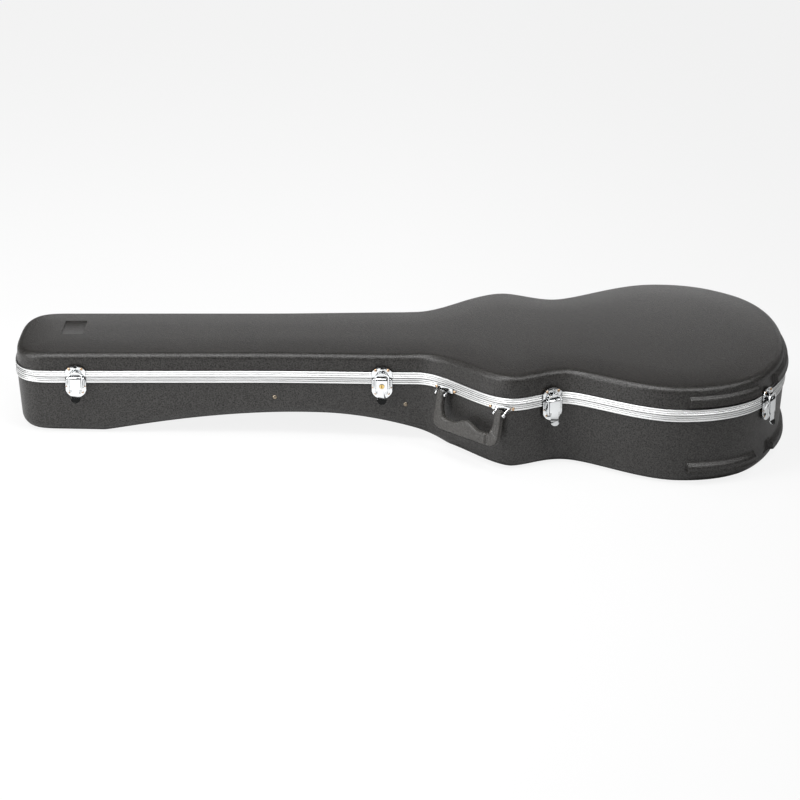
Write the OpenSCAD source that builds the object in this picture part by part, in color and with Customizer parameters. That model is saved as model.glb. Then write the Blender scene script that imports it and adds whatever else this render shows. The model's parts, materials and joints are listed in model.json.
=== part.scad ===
// Hard-shell guitar case: moulded shells with aluminium edge rails, four draw
// latches, carry handle, three back hinges, padded lining and accessory box.
// Working frame: X along the case (head end at -X), handle and latch side at
// -Y, hinge side at +Y, Z up, parting plane at Z = 0. place() then sets the
// finished part so that its flat underside lies on Z = 0.

/* [Outline] */
// Half width of the neck section at the rail
neck_half = 94.3; // [88:0.1:100]
// Half width of the upper bout at the rail
upper_half = 185.5; // [178:0.5:192]
// Half width of the waist at the rail
waist_half = 158; // [150:0.5:166]
// Half width of the lower bout at the rail
lower_half = 227.5; // [220:0.5:235]
// Sideways shift of the body's middle line towards the handle side
body_shift = 17.5; // [14:0.5:20]
// Position of the flat end of the head along X
head_end = -556; // [-560:1:-550]
// Length of the rounded tail, from the widest place to the tip
tail_len = 170; // [165:1:175]

/* [Depth] */
// Height of the lid top above the parting plane over the neck
lid_h_neck = 33; // [31:0.5:35]
// Height of the lid top above the parting plane over the body
lid_h_body = 39; // [37:0.5:41]
// Depth of the base below the parting plane at the origin
base_h = 96.2; // [94:0.2:98]
// Slope of the flat underside along X
base_slope = 0.0195; // [0.017:0.0005:0.022]
// Rise of the arch under the neck
arch_h = 34; // [30:0.5:36]
// Thickness of the moulded walls
wall = 3; // [2.6:0.1:3]
// Edge radius round the lid top
lid_r = 9; // [8:0.5:10]
// Edge radius round the underside
base_r = 16; // [15:0.5:17]
// How far the moulded bumper bars stand proud of the wall
bar_proud = 3; // [1:0.5:3.5]

/* [Rails] */
// Height of each aluminium rail from the parting plane
rail_h = 8.7; // [8:0.1:9]
// Gap between a rail and the parting plane
rail_gap = 0.3; // [0.2:0.05:0.4]

/* [Hinges] */
// Distance of the hinge axis outside the line that touches the outline
hinge_out = 7; // [7:0.1:8]
// Radius of a hinge knuckle
knuckle_r = 2.8; // [2.6:0.1:3]
// Radius of a hinge pin
hinge_pin_r = 1.3; // [1.2:0.05:1.4]

/* [Latches] */
// Positions of the four latches along X
latch_x = [-462, -25.6, 211.5, 511.6]; // [-550:0.1:550]
// Stand-off of each latch from the rail
latch_off = [0.1, 0.1, 2.0, 0.1]; // [0:0.1:3]
// Width of the latch plates
latch_w = 29; // [27:0.5:30]

/* [Handle] */
// Angle at which the grip hangs away from the wall
hang = 10.6; // [8:0.2:12]
// Half distance between the middles of the two handle legs
handle_half = 55.75; // [55.5:0.05:56]

/* [Interior] */
// Thickness of the padded walls
pad_wall = 9; // [8:0.5:10]
// Thickness of the padded floor
pad_floor = 22; // [18:1:24]
// Thickness of the padding under the lid top
pad_lid = 12; // [9:0.5:13]

/* [Hidden] */

shell_col = [0.20, 0.20, 0.20];
alu_col = [0.86, 0.87, 0.88];
chrome_col = [0.80, 0.82, 0.84];
plush_col = [0.13, 0.13, 0.15];
board_col = [0.12, 0.12, 0.13];
box_lid_col = [0.14, 0.14, 0.16];
tab_col = [0.16, 0.15, 0.15];
wall_rivet_col = [0.72, 0.58, 0.45];
latch_rivet_col = [0.78, 0.60, 0.42];
brass_col = [0.80, 0.62, 0.30];
grip_col = [0.17, 0.17, 0.17];
strap_col = [0.10, 0.10, 0.11];

// ---- general helpers ----
function smooth(part) = let(held = min(max(part, 0), 1)) held*held*(3 - 2*held);
function smooth_step(x, from, to) = smooth((x - from)/(to - from));
function mix(from, to, part) = from + (to - from)*part;
// low end of a span on one side of zero: side 1 covers near..near + size, side -1 mirrors it
function span_start(side, near, size) = side > 0 ? near : -near - size;
// closed outline from its +X half, mirrored to -X
function mirrored(half) =
  concat(half, [for (i = [len(half)-1:-1:0]) [-half[i].x, half[i].y]]);

// profile drawn in (Y, Z), extruded towards +X
module extrude_x(length) {
  rotate([90, 0, 90]) linear_extrude(height = length) children();
}
// profile drawn in (X, Z), extruded towards -Y
module extrude_out(thickness) {
  rotate([90, 0, 0]) linear_extrude(height = thickness) children();
}
module x_rod(radius, length, sides) {
  rotate([0, 90, 0]) cylinder(r = radius, h = length, $fn = sides);
}
// rod that runs towards -Y
module out_rod(radius, length, sides) {
  rotate([90, 0, 0]) cylinder(r = radius, h = length, $fn = sides);
}
// rectangle centred across, standing on y = bottom
module strip(width, bottom, height) {
  translate([-width/2, bottom]) square([width, height]);
}
module clipped_circle(circle_y, radius, sides, width, bottom, height) {
  intersection() {
    translate([0, circle_y]) circle(r = radius, $fn = sides);
    strip(width, bottom, height);
  }
}
// spherical cap that bulges towards -Y
module dome(radius, height, rim_sides, ball_sides) {
  ball_r = (radius*radius + height*height)/(2*height);
  rotate([90, 0, 0]) intersection() {
    cylinder(r = radius, h = height, $fn = rim_sides);
    translate([0, 0, height - ball_r]) sphere(r = ball_r, $fn = ball_sides);
  }
}
// shank runs into the wall towards +Y, domed head outside
module rivet(radius, length, head_r, head_h) {
  translate([0, length, 0]) out_rod(radius, length + 0.2, 24);
  dome(head_r, head_h, 32, 48);
}

// ---- plan outline at the rails ----
head_len = 70;      // rounded head end along X
head_power = 3.2;   // superellipse exponents of the two ends
tail_power = 2.2;
neck_flare = 5.7;   // widening of the neck towards the body
// places along X where the sections meet
head_x = head_end + head_len;
neck_to_x = 25;
upper_x = 155;
waist_x = 229;
lower_x = 387;
tail_tip_x = lower_x + tail_len;

function side_half(x) =
  x < neck_to_x ? neck_half + neck_flare*smooth_step(x, -200, 20)
  : x < upper_x ? mix(neck_half + neck_flare, upper_half, smooth_step(x, neck_to_x, upper_x))
  : x < waist_x ? mix(upper_half, waist_half, smooth_step(x, upper_x, waist_x))
  : mix(waist_half, lower_half,
        smooth(pow(min(1, (x - waist_x)/(lower_x - waist_x)), 0.8)));
function end_half(half, part, power) = half*pow(max(0, 1 - pow(part, power)), 1/power);
function half_width(x) =
  x < head_x ? end_half(neck_half, (head_x - x)/head_len, head_power)
  : x > lower_x ? end_half(lower_half, (x - lower_x)/tail_len, tail_power)
  : side_half(x);
function middle_y(x) = -body_shift*smooth_step(x, 10, 160)
  + 0.55*body_shift*smooth_step(x, 480, tail_tip_x);
function front_y(x) = middle_y(x) - half_width(x);
function back_y(x) = middle_y(x) + half_width(x);

// number of steps along each section
head_steps = 8;
neck_steps = 20;
body_steps = 36;
tail_steps = 16;
function end_point(start_x, reach, half, power, angle) =
  [start_x + reach*pow(cos(angle), 2/power), half*pow(sin(angle), 2/power)];
// stations along one side, from the head tip to the tail tip: [x, half width]
SIDE = concat(
  [for (i = [0:head_steps-1])
    end_point(head_x, -head_len, neck_half, head_power, 90*i/head_steps)],
  [for (i = [0:neck_steps-1]) let(x = mix(head_x, 0, i/neck_steps)) [x, side_half(x)]],
  [for (i = [0:body_steps-1]) let(x = mix(0, lower_x, i/body_steps)) [x, side_half(x)]],
  [for (i = [0:tail_steps])
    end_point(lower_x, tail_len, lower_half, tail_power, 90 - 90*i/tail_steps)]);
last_station = len(SIDE) - 1;
// closed outline: along the front to the tail, then along the back to the head
LOOP = concat(
  [for (i = [0:last_station]) [SIDE[i].x, middle_y(SIDE[i].x) - SIDE[i].y]],
  [for (i = [last_station-1:-1:1]) [SIDE[i].x, middle_y(SIDE[i].x) + SIDE[i].y]]);
loop_size = len(LOOP);
// outward unit normals of LOOP
NORMALS = [for (i = [0:loop_size-1])
  let(along = LOOP[(i + 1) % loop_size] - LOOP[(i + loop_size - 1) % loop_size])
  [along.y, -along.x]/norm(along)];
function inset_point(i, inset) = LOOP[i] - NORMALS[i]*inset;

// ---- heights of the lid top and the underside ----
arch_from = -425;
arch_peak = -115;
arch_to = 70;
function top_z(x) = mix(lid_h_neck, lid_h_body, smooth_step(x, 0, 110));
function arch_rise(x) = let(part = x < arch_peak
    ? (x - arch_from)/(arch_peak - arch_from)
    : (arch_to - x)/(arch_to - arch_peak))
  arch_h*smooth(pow(max(0, part), 0.6));
function bottom_z(x) = -base_h - base_slope*x + arch_rise(x);

place_x = 300;  // X of the working frame that lands at the placed origin
slope_angle = atan(base_slope);
module place() {
  rotate([0, -slope_angle, 0])
    translate([-place_x, body_shift, -bottom_z(place_x)])
      children();
}

// ---- walls of both halves; side = -1: base, side = 1: lid ----
shell_inset = 2;     // shell wall inside the outer face of the rail
shell_rim_z = 1.7;   // distance of a shell rim from the parting plane
draft_from_z = 9;    // the walls lean inwards beyond this distance
base_draft = 0.065;
lid_draft = 0.08;
function face_z(side, x) = side < 0 ? bottom_z(x) : top_z(x);
function edge_r(side) = side < 0 ? base_r : lid_r;
// height where the wall runs into the rounded edge
function edge_z(side, x) = face_z(side, x) - side*edge_r(side);
function wall_inset(side, z) =
  shell_inset + (side < 0 ? base_draft : lid_draft)*max(0, side*z - draft_from_z);

// closed ring of points, with inset and height given as functions of x
function ring(inset_at, height_at) = [for (i = [0:loop_size-1])
  let(point = inset_point(i, inset_at(LOOP[i].x)))
  [point.x, point.y, height_at(point.x)]];
function level_ring(inset, z) = ring(function(x) inset, function(x) z);
// ring on the rounded edge, on a surface lying inward of the outer one
function edge_ring(side, inward, angle) = let(radius = edge_r(side) - inward) ring(
  function(x) wall_inset(side, edge_z(side, x)) + inward + radius*(1 - cos(angle)),
  function(x) edge_z(side, x) + side*radius*sin(angle));

// bumper bar sections as [part of the wall height, 1 where the bar stands proud]
base_bar = [[0.985, 0], [0.965, 1], [0.765, 1], [0.745, 0]];
lid_bar = [[0.86, 0], [0.79, 1], [0.19, 1], [0.12, 0]];
function has_bar(x) = (x > 396 && x < 499) || x > 527 ? 1 : 0;
function bar_ring(side, part, proud) =
  let(height_at = function(x) mix(side*draft_from_z, edge_z(side, x), part))
  ring(function(x) wall_inset(side, height_at(x)) - bar_proud*proud*has_bar(x), height_at);

// solid through rings that run from the outer cap, over the rim, to the inner cap
module loft(side, rings) {
  half = loop_size/2;
  last_ring = (len(rings) - 1)*loop_size;
  bands = [for (k = [0:len(rings)-2]) for (i = [0:loop_size-1])
    let(j = (i + 1) % loop_size, low = k*loop_size, high = low + loop_size)
    each [[low + i, high + i, high + j], [low + i, high + j, low + j]]];
  outer_cap = [for (i = [0:half-1])
    let(across = (loop_size - i) % loop_size, next_across = loop_size - i - 1)
    each (i == 0 ? [[0, 1, loop_size - 1]]
      : i == half - 1 ? [[i, i + 1, across]]
      : [[i, i + 1, next_across], [i, next_across, across]])];
  inner_cap = [for (face = outer_cap)
    [face[2] + last_ring, face[1] + last_ring, face[0] + last_ring]];
  faces = concat(bands, outer_cap, inner_cap);
  polyhedron(
    points = [for (points = rings) each points],
    faces = side < 0 ? faces : [for (face = faces) [face[2], face[1], face[0]]]);
}

// ---- moulded shells ----
recess_centre = [-475, 17];
recess_size = [31.5, 58, 5];
recess_depth = 1;
module shell(side, bar) {
  loft(side, concat(
    [for (angle = [90, 67.5, 45, 22.5, 0]) edge_ring(side, 0, angle)],
    [for (section = bar) bar_ring(side, section[0], section[1])],
    [level_ring(shell_inset, side*draft_from_z),
     level_ring(shell_inset, side*shell_rim_z),
     level_ring(shell_inset + wall, side*shell_rim_z),
     level_ring(shell_inset + wall, side*draft_from_z)],
    [for (angle = [0, 30, 60, 90]) edge_ring(side, wall, angle)]));
}
module base_shell() {
  color(shell_col) place() shell(-1, base_bar);
}
// the lid has a shallow rectangular recess in its top near the head
module lid_shell() {
  color(shell_col) place() difference() {
    shell(1, lid_bar);
    translate([recess_centre.x - recess_size.x/2, recess_centre.y - recess_size.y/2,
               lid_h_neck - recess_depth])
      cube(recess_size);
  }
}

// ---- aluminium edge rails ----
base_rail_w = 7;
lid_rail_w = 6.4;
groove_clear = 0.2;               // play round the shell rim in its groove
groove_z = shell_rim_z - groove_clear;
tongue_inset = [6.8, 8.6];        // outer and inner face
tongue_top = 5;
// strip that follows the outline between two insets
module band(outer, inner, bottom, top) {
  translate([0, 0, bottom]) linear_extrude(height = top - bottom)
    polygon(
      points = [for (inset = [outer, inner]) for (i = [0:loop_size-1]) inset_point(i, inset)],
      paths = [for (start = [0, loop_size]) [for (i = [0:loop_size-1]) start + i]]);
}
module groove(bottom, top) {
  band(shell_inset - groove_clear, shell_inset + wall + groove_clear, bottom, top);
}
module base_rail() {
  color(alu_col) place() union() {
    difference() {
      band(0, base_rail_w, -rail_h, -rail_gap);
      groove(-rail_h - 1, -groove_z);
    }
    // locating tongue inside the lid rail
    band(tongue_inset[0], tongue_inset[1], -rail_h, tongue_top);
  }
}
module lid_rail() {
  color(alu_col) place() difference() {
    band(0, lid_rail_w, rail_gap, rail_h);
    groove(groove_z, rail_h + 1);
  }
}

// ---- padded liners ----
liner_in = wall + 0.8;   // outer face of a liner, inward of the shell's outer face
thin_floor = 6;          // floor padding under the accessory compartment
floor_round = 9;         // bevel between padded wall and floor
base_liner_rim = -12;
function floor_thickness(x) = pad_floor
  - (pad_floor - thin_floor)*smooth_step(x, -215, -187)*(1 - smooth_step(x, 16, 46));
function floor_z(x) = bottom_z(x) + liner_in + floor_thickness(x);
module base_liner() {
  rim_inset = wall_inset(-1, base_liner_rim) + liner_in;
  color(plush_col) place() loft(-1, concat(
    [for (angle = [90, 60, 30, 0]) edge_ring(-1, liner_in, angle)],
    [level_ring(rim_inset + 0.4, base_liner_rim - 2),
     level_ring(rim_inset + 2.5, base_liner_rim),
     level_ring(rim_inset + pad_wall - 2.5, base_liner_rim),
     level_ring(rim_inset + pad_wall, base_liner_rim - 2.5),
     ring(function(x) wall_inset(-1, edge_z(-1, x)) + liner_in + pad_wall,
          function(x) floor_z(x) + floor_round),
     ring(function(x) wall_inset(-1, edge_z(-1, x)) + liner_in + pad_wall + floor_round,
          function(x) floor_z(x))]));
}
module lid_liner() {
  rim_z = 11.5;
  rim_inset = wall_inset(1, 12) + liner_in;
  color(plush_col) place() loft(1, concat(
    [for (angle = [90, 45, 0]) edge_ring(1, liner_in, angle)],
    [level_ring(rim_inset + 0.3, rim_z),
     level_ring(rim_inset + 6, rim_z),
     ring(function(x) rim_inset + 13, function(x) top_z(x) - liner_in - pad_lid)]));
}

// ---- bulkheads and rests ----
head_board_x = -179;
body_board_x = 8;
board_t = 8;
box_pin_y = -71.5;       // hinge pin of the compartment lid
box_pin_z = -22.5;
box_pin_r = 1.2;
box_pin_hole_r = 1.25;
// foot is the height of the board's lower edge above the liner's underside
module bulkhead(board_x, foot) {
  bottom = bottom_z(board_x) + liner_in + foot;
  difference() {
    translate([board_x - board_t/2, 0, 0]) extrude_x(board_t)
      polygon(mirrored([[70, bottom], [74, bottom + 7.4], [75.8, -16], [74, -14],
                        [34, -14], [30, -18], [27, -34]]));
    translate([board_x - board_t, box_pin_y, box_pin_z]) x_rod(box_pin_hole_r, 2*board_t, 32);
  }
}
module bulkhead_head() {
  color(board_col) place() bulkhead(head_board_x, 9.7);
}
module bulkhead_body() {
  color(board_col) place() bulkhead(body_board_x, 9.5);
}
// soft U-shaped saddles in the neck notches
saddle_len = 26;
module neck_rest_pads() {
  color(plush_col) place() for (board_x = [head_board_x, body_board_x])
    translate([board_x - saddle_len/2, 0, 0]) extrude_x(saddle_len) difference() {
      polygon(mirrored([[26.6, -33.7], [29.4, -19]]));
      translate([0, -11]) circle(r = 19.5, $fn = 64);
    }
}
// cushion that carries the head of the guitar, hollowed along X
cushion_x = [-452, -382];
cushion_w = 96;
cushion_top = -38;
module head_pad() {
  lift = liner_in + pad_floor + 2.2;
  color(plush_col) place() difference() {
    translate([0, cushion_w/2, 0]) extrude_out(cushion_w)
      polygon(concat([for (x = [cushion_x[0]:7:cushion_x[1]]) [x, bottom_z(x) + lift]],
                     [[cushion_x[1], cushion_top], [cushion_x[0], cushion_top]]));
    translate([-470, 0, 10]) x_rod(60, 110, 64);
  }
}
// raised pad under the body: a sloping slab cut to a round
floor_pad_x = 230;
floor_pad_size = [250, 220, 8];
module body_floor_pad() {
  far_x = floor_pad_x + floor_pad_size.x;
  color(plush_col) place() intersection() {
    translate([floor_pad_x, -body_shift - floor_pad_size.y/2,
               bottom_z(far_x) + liner_in + pad_floor + 0.4])
      rotate([0, slope_angle, 0])
        translate([0, 0, 5.2])
          cube(floor_pad_size);
    translate([floor_pad_x + floor_pad_size.x/2, -body_shift, -200])
      cylinder(r = 128, h = 300, $fn = 96);
  }
}

// ---- accessory compartment between the bulkheads ----
box_x0 = head_board_x + board_t/2 + 0.4;
box_len = body_board_x - board_t/2 - 0.4 - box_x0;
box_lid_play = 0.2;
box_lid_len = box_len - 2*box_lid_play;
tab_w = 14;
tab_len = 12;
tab_t = 1.6;
module compartment_wall() {
  color(board_col) place() translate([box_x0, 0, 0]) extrude_x(box_len)
    polygon([[-37, -47.5], [-33.6, -47.5], [-33.6, -23.4], [-37, -23.4]]);
}
module compartment_lid() {
  color(box_lid_col) place() difference() {
    union() {
      translate([box_x0 + box_lid_play, box_pin_y, box_pin_z - 0.4])
        cube([box_lid_len, 37.5, 2.4]);
      translate([box_x0 + box_lid_play, box_pin_y, box_pin_z]) x_rod(2.4, box_lid_len, 32);
    }
    translate([box_x0 - 1, box_pin_y, box_pin_z]) x_rod(box_pin_hole_r, box_len + 2, 32);
  }
}
module compartment_hinge_pin() {
  into_board = 3.6;
  color(chrome_col) place() translate([head_board_x - into_board, box_pin_y, box_pin_z])
    x_rod(box_pin_r, body_board_x - head_board_x + 2*into_board, 32);
}
module compartment_pull_tab() {
  color(tab_col) place()
    translate([box_x0 + box_len/2 - tab_w/2, box_pin_y + 18.6, box_pin_z + 2.1])
      difference() {
        union() {
          cube([tab_w, tab_len, tab_t]);
          translate([tab_w/2, tab_len, 0]) cylinder(r = tab_w/2, h = tab_t, $fn = 48);
        }
        translate([tab_w/2, tab_len + 1, -1]) cylinder(r = 2.2, h = 4, $fn = 32);
      }
}
module board_rivet() {
  rivet(radius = 1.6, length = 24, head_r = 3.2, head_h = 1.4);
}
module bulkhead_rivets() {
  sink = 0.05;
  color(wall_rivet_col) place() for (spot = [[head_board_x, -32], [body_board_x, -41]]) {
    x = spot[0];
    z = spot[1];
    inset = wall_inset(-1, z) - sink;
    translate([x, front_y(x) + inset, z]) board_rivet();
    translate([x, back_y(x) - inset, z]) rotate([0, 0, 180]) board_rivet();
  }
}

// ---- hinges along the back, all on one straight axis ----
hinge_x = [-462, 155, 385];
axis_x0 = -505;   // the axis runs parallel to the line through the back at these two places
axis_x1 = 385;
axis_slope = (back_y(axis_x1) - back_y(axis_x0))/(axis_x1 - axis_x0);
axis_angle = atan(axis_slope);
knuckles = 5;
knuckle_pitch = 8;
knuckle_gap = 0.4;
leaf_w = knuckles*knuckle_pitch;
leaf_h = 14.2;
leaf_t = 1.4;
leaf_from_z = 0.8;   // distance of a leaf from the parting plane
function axis_y(x) =
  back_y(axis_x0) + axis_slope*(x - axis_x0) + 1.2 + hinge_out/cos(axis_angle);
module at_axis(x) {
  translate([x, axis_y(x), 0]) rotate([0, 0, axis_angle]) children();
}
// side = -1: base half with three knuckles, side = 1: lid half with two
module hinge_half(x, side) {
  leaf_y = back_y(x) + 0.1;
  web_in = 0.5;
  difference() {
    union() {
      translate([x - leaf_w/2, leaf_y, span_start(side, leaf_from_z, leaf_h)])
        cube([leaf_w, leaf_t, leaf_h]);
      for (k = [0:knuckles-1]) if ((side < 0) == (k % 2 == 0)) {
        start = (k - knuckles/2)*knuckle_pitch + knuckle_gap/2;
        length = knuckle_pitch - knuckle_gap;
        web_x0 = x + start + web_in;
        web_x1 = x + start + length - web_in;
        translate([0, 0, span_start(side, leaf_from_z, leaf_t)])
          linear_extrude(height = leaf_t)
            polygon([[web_x0, leaf_y + web_in], [web_x1, leaf_y + web_in],
                     [web_x1, axis_y(web_x1)], [web_x0, axis_y(web_x0)]]);
        at_axis(x) translate([start, 0, 0]) x_rod(knuckle_r, length, 48);
      }
    }
    at_axis(x) translate([-25, 0, 0]) x_rod(hinge_pin_r + 0.05, 50, 48);
  }
}
module hinge_leaves_base() {
  color(chrome_col) place() for (x = hinge_x) hinge_half(x, -1);
}
module hinge_leaves_lid() {
  color(chrome_col) place() for (x = hinge_x) hinge_half(x, 1);
}
module hinge_pins() {
  pin_len = leaf_w + 1.2;
  color(chrome_col) place() for (x = hinge_x)
    at_axis(x) translate([-pin_len/2, 0, 0]) x_rod(hinge_pin_r, pin_len, 48);
}
module hinge_rivets(side) {
  for (x = hinge_x) for (offset_x = [-13, 13])
    translate([x + offset_x, back_y(x) + 1.45, side*11]) rotate([0, 0, 180])
      rivet(radius = 1.7, length = 9.5, head_r = 3, head_h = 1.2);
}
module hinge_rivets_base() {
  color(chrome_col) place() hinge_rivets(-1);
}
module hinge_rivets_lid() {
  color(chrome_col) place() hinge_rivets(1);
}

// ---- draw latches on the front ----
// frame on the front outline at x: local X along the wall, -Y outwards
module at_front(x, off = 0) {
  translate([x, front_y(x), 0])
    rotate([0, 0, atan(front_y(x + 0.5) - front_y(x - 0.5))])
      translate([0, -off, 0])
        children();
}
module at_latch(i) {
  at_front(latch_x[i], latch_off[i]) children();
}
// Lever and bail are drawn in a frame that is raised by latch_lift.
latch_lift = 8.5;
plate_t = 1.5;
lever_pivot = [-5.55, -9.5];   // [y, z] in the raised frame
bail_pivot = [-7.1, -27];      // [y, z] in the raised frame
latch_pin_r = 1.2;
latch_pin_len = 25.2;
latch_hole_r = 1.25;
lug_x = 10.9;                  // inner face of a plate lug
lug_t = 1.2;
lever_w = 15.8;
lever_y = -8.05;
lever_t = 1.2;
lever_tab_w = 11.4;
curl_r = 3.7;
lip_r = 7.2;
cheek_x = 6.2;                 // inner face of a lever cheek
cheek_t = 1.3;
bail_w = 20.6;
bail_opening_w = 17;
bail_end_x = 5.9;
bail_end_len = 2.7;
lock_z = -17.5;                // lock middle in the raised frame
module cross_hole(y, z, radius) {
  translate([-20, y, z]) x_rod(radius, 40, 32);
}
module keeper() {
  hook_w = 11;
  extrude_out(plate_t) clipped_circle(0, 17.5, 96, latch_w, 1.5, 18.6);
  translate([-hook_w/2, -6.1, 5.0]) cube([hook_w, 4.9, 1.4]);
  translate([-hook_w/2, -6.1, 5.0]) cube([hook_w, 1.2, 5.4]);
  // embossed dome at the top of the plate
  translate([0, -1.3, 12.9]) dome(3.6, 1.0, 48, 64);
}
module latch_plate() {
  pivot_z = lever_pivot[1] + latch_lift;
  difference() {
    union() {
      extrude_out(plate_t) union() {
        strip(latch_w, -20, 19);
        clipped_circle(-15.5, latch_w/2 + 0.5, 72, latch_w, -31, 12);
      }
      // lugs that carry the lever pin
      for (side = [-1, 1])
        translate([span_start(side, lug_x, lug_t), 0, 0]) extrude_x(lug_t) union() {
          polygon([[-1, -2.5], [-4.8, 1.3], [-7.2, 0.4], [-7.5, -2], [-6.5, -5], [-1, -17]]);
          translate([lever_pivot[0], pivot_z]) circle(r = 2.6, $fn = 48);
        }
    }
    cross_hole(lever_pivot[0], pivot_z, latch_hole_r);
  }
}
module lever(has_lock) {
  translate([0, 0, latch_lift]) difference() {
    union() {
      translate([0, lever_y, 0]) extrude_out(lever_t) union() {
        strip(lever_w, -25, 15.5);
        strip(lever_tab_w, -38.9, 15);
      }
      // back-curled top edge round the pivot
      intersection() {
        translate([-lever_w/2, lever_pivot[0], lever_pivot[1]]) rotate([0, 90, 0])
          difference() {
            cylinder(r = curl_r, h = lever_w, $fn = 64);
            translate([0, 0, -1]) cylinder(r = curl_r - lever_t, h = 18, $fn = 64);
          }
        translate([-9, -10, lever_pivot[1]]) cube([18, 10 + lever_pivot[0], 6]);
      }
      // side cheeks
      for (side = [-1, 1])
        translate([span_start(side, cheek_x, cheek_t), 0, 0]) extrude_x(cheek_t)
          polygon([[-8.5, -9.3], [-6.9, -7.4], [-4.8, -7.4], [-3.9, -8.4],
                   [-3.9, -11.3], [-5.6, -25], [-5.6, -29], [-8.5, -29]]);
      // flared round finger lip at the end of the tab
      translate([0, lever_y, -38.2]) rotate([-30, 0, 0]) extrude_out(lever_t)
        clipped_circle(0, lip_r, 64, 2*lip_r, -lip_r, 7.4);
    }
    cross_hole(lever_pivot[0], lever_pivot[1], latch_hole_r);
    cross_hole(bail_pivot[0], bail_pivot[1], 0.95);
    if (has_lock) translate([0, 0, lock_z]) out_rod(3.55, 20, 48);
  }
}
module bail() {
  translate([0, 0, latch_lift]) {
    // loop with a rounded top, open at the bottom
    translate([0, -6.9, 0]) extrude_out(1.4) difference() {
      union() {
        strip(bail_w, -28.4, 24);
        clipped_circle(-11, 12.8, 72, bail_w, -5, 8);
      }
      strip(bail_opening_w, -29, 24);
      clipped_circle(-12, 11.6, 72, bail_opening_w, -6, 8);
    }
    // inturned ends that pivot in the lever
    for (side = [-1, 1])
      translate([span_start(side, bail_end_x, bail_end_len), bail_pivot[0], bail_pivot[1]])
        x_rod(0.9, bail_end_len, 24);
  }
}
module chrome_latch(i) {
  color(chrome_col) place() at_latch(i) children();
}
module latch_keeper_1() chrome_latch(0) keeper();
module latch_keeper_2() chrome_latch(1) keeper();
module latch_keeper_3() chrome_latch(2) keeper();
module latch_keeper_4() chrome_latch(3) keeper();
module latch_plate_1() chrome_latch(0) latch_plate();
module latch_plate_2() chrome_latch(1) latch_plate();
module latch_plate_3() chrome_latch(2) latch_plate();
module latch_plate_4() chrome_latch(3) latch_plate();
module latch_lever_1() chrome_latch(0) lever(false);
module latch_lever_2() chrome_latch(1) lever(true);
module latch_lever_3() chrome_latch(2) lever(false);
module latch_lever_4() chrome_latch(3) lever(false);
module latch_bail_1() chrome_latch(0) bail();
module latch_bail_2() chrome_latch(1) bail();
module latch_bail_3() chrome_latch(2) bail();
module latch_bail_4() chrome_latch(3) bail();
module latch_pins() {
  for (i = [0:3]) chrome_latch(i)
    translate([-latch_pin_len/2, lever_pivot[0], lever_pivot[1] + latch_lift])
      x_rod(latch_pin_r, latch_pin_len, 32);
}
// barrel, collar and rib below, with a key slot in the face
module lock_cylinder() {
  color(brass_col) place() at_latch(1) translate([0, 0, latch_lift + lock_z]) difference() {
    union() {
      translate([0, -7.25, 0]) out_rod(3.5, 2.6, 48);
      translate([0, -6.65, 0]) out_rod(4.6, 1.3, 48);
      translate([-1.5, -7.95, -5.5]) cube([3, 1.2, 5.5]);
    }
    translate([-0.5, -11.05, -2.5]) cube([1, 2.6, 5]);
  }
}
// mirrored pair of rivets through the plate of latch i
module rivet_pair(i, half_gap, z, radius, length, head_r, head_h) {
  for (side = [-1, 1]) translate([side*half_gap, -1.45, z])
    rivet(radius, length + latch_off[i], head_r, head_h);
}
module latch_rivets_lid() {
  color(latch_rivet_col) place() for (i = [0:3]) at_latch(i)
    rivet_pair(i, half_gap = 8.9, z = 12.5, radius = 1.4, length = 6.4, head_r = 2.2,
               head_h = 1.1);
}
module latch_rivets_base() {
  color(latch_rivet_col) place() for (i = [0:3]) at_latch(i) {
    rivet_pair(i, half_gap = 9.4, z = -22.6, radius = 1.1, length = 7, head_r = 1.8,
               head_h = 0.8);
    rivet_pair(i, half_gap = 13.1, z = -13.5, radius = 0.9, length = 6.6, head_r = 1.3,
               head_h = 0.6);
  }
}

// ---- carry handle ----
pivot_y = -7.5;
pivot_z = -12;
grip_t = 9.5;
grip_w = 124;
leg_w = 12.5;
grip_corner = [46, -45];        // middle of a lower corner round
handle_pin_r = 2;
handle_pin_len = 21.2;
core_t = 1.5;
bracket_lug_t = 2.8;
bracket_lug_half = 8.6;         // lug middles either side of a leg's middle
// per bracket, left then right
bracket_x = [[49, 81.5], [122.5, 160]];
bracket_rivet_x = [[52.8, 77.6], [126.6, 156.7]];
lug_root_y = [[-1.1, -1.1], [-2.9, 5.0]];
// the handle frame lies on the chord between two points of the front
chord_start = [65, front_y(65)];
chord_end = [141, front_y(141)];
chord = chord_end - chord_start;
chord_middle = (chord_start + chord_end)/2;
module at_handle() {
  translate([chord_middle.x, chord_middle.y, 0])
    rotate([0, 0, atan2(chord.y, chord.x)])
      children();
}
// the grip hangs a little away from the wall
module at_grip() {
  at_handle() translate([0, pivot_y, pivot_z])
    rotate([-hang, 0, 0])
      translate([0, 0, -pivot_z])
        children();
}
module handle_bore(radius) {
  at_handle() translate([-80, pivot_y, pivot_z]) x_rod(radius, 160, 48);
}
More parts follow.
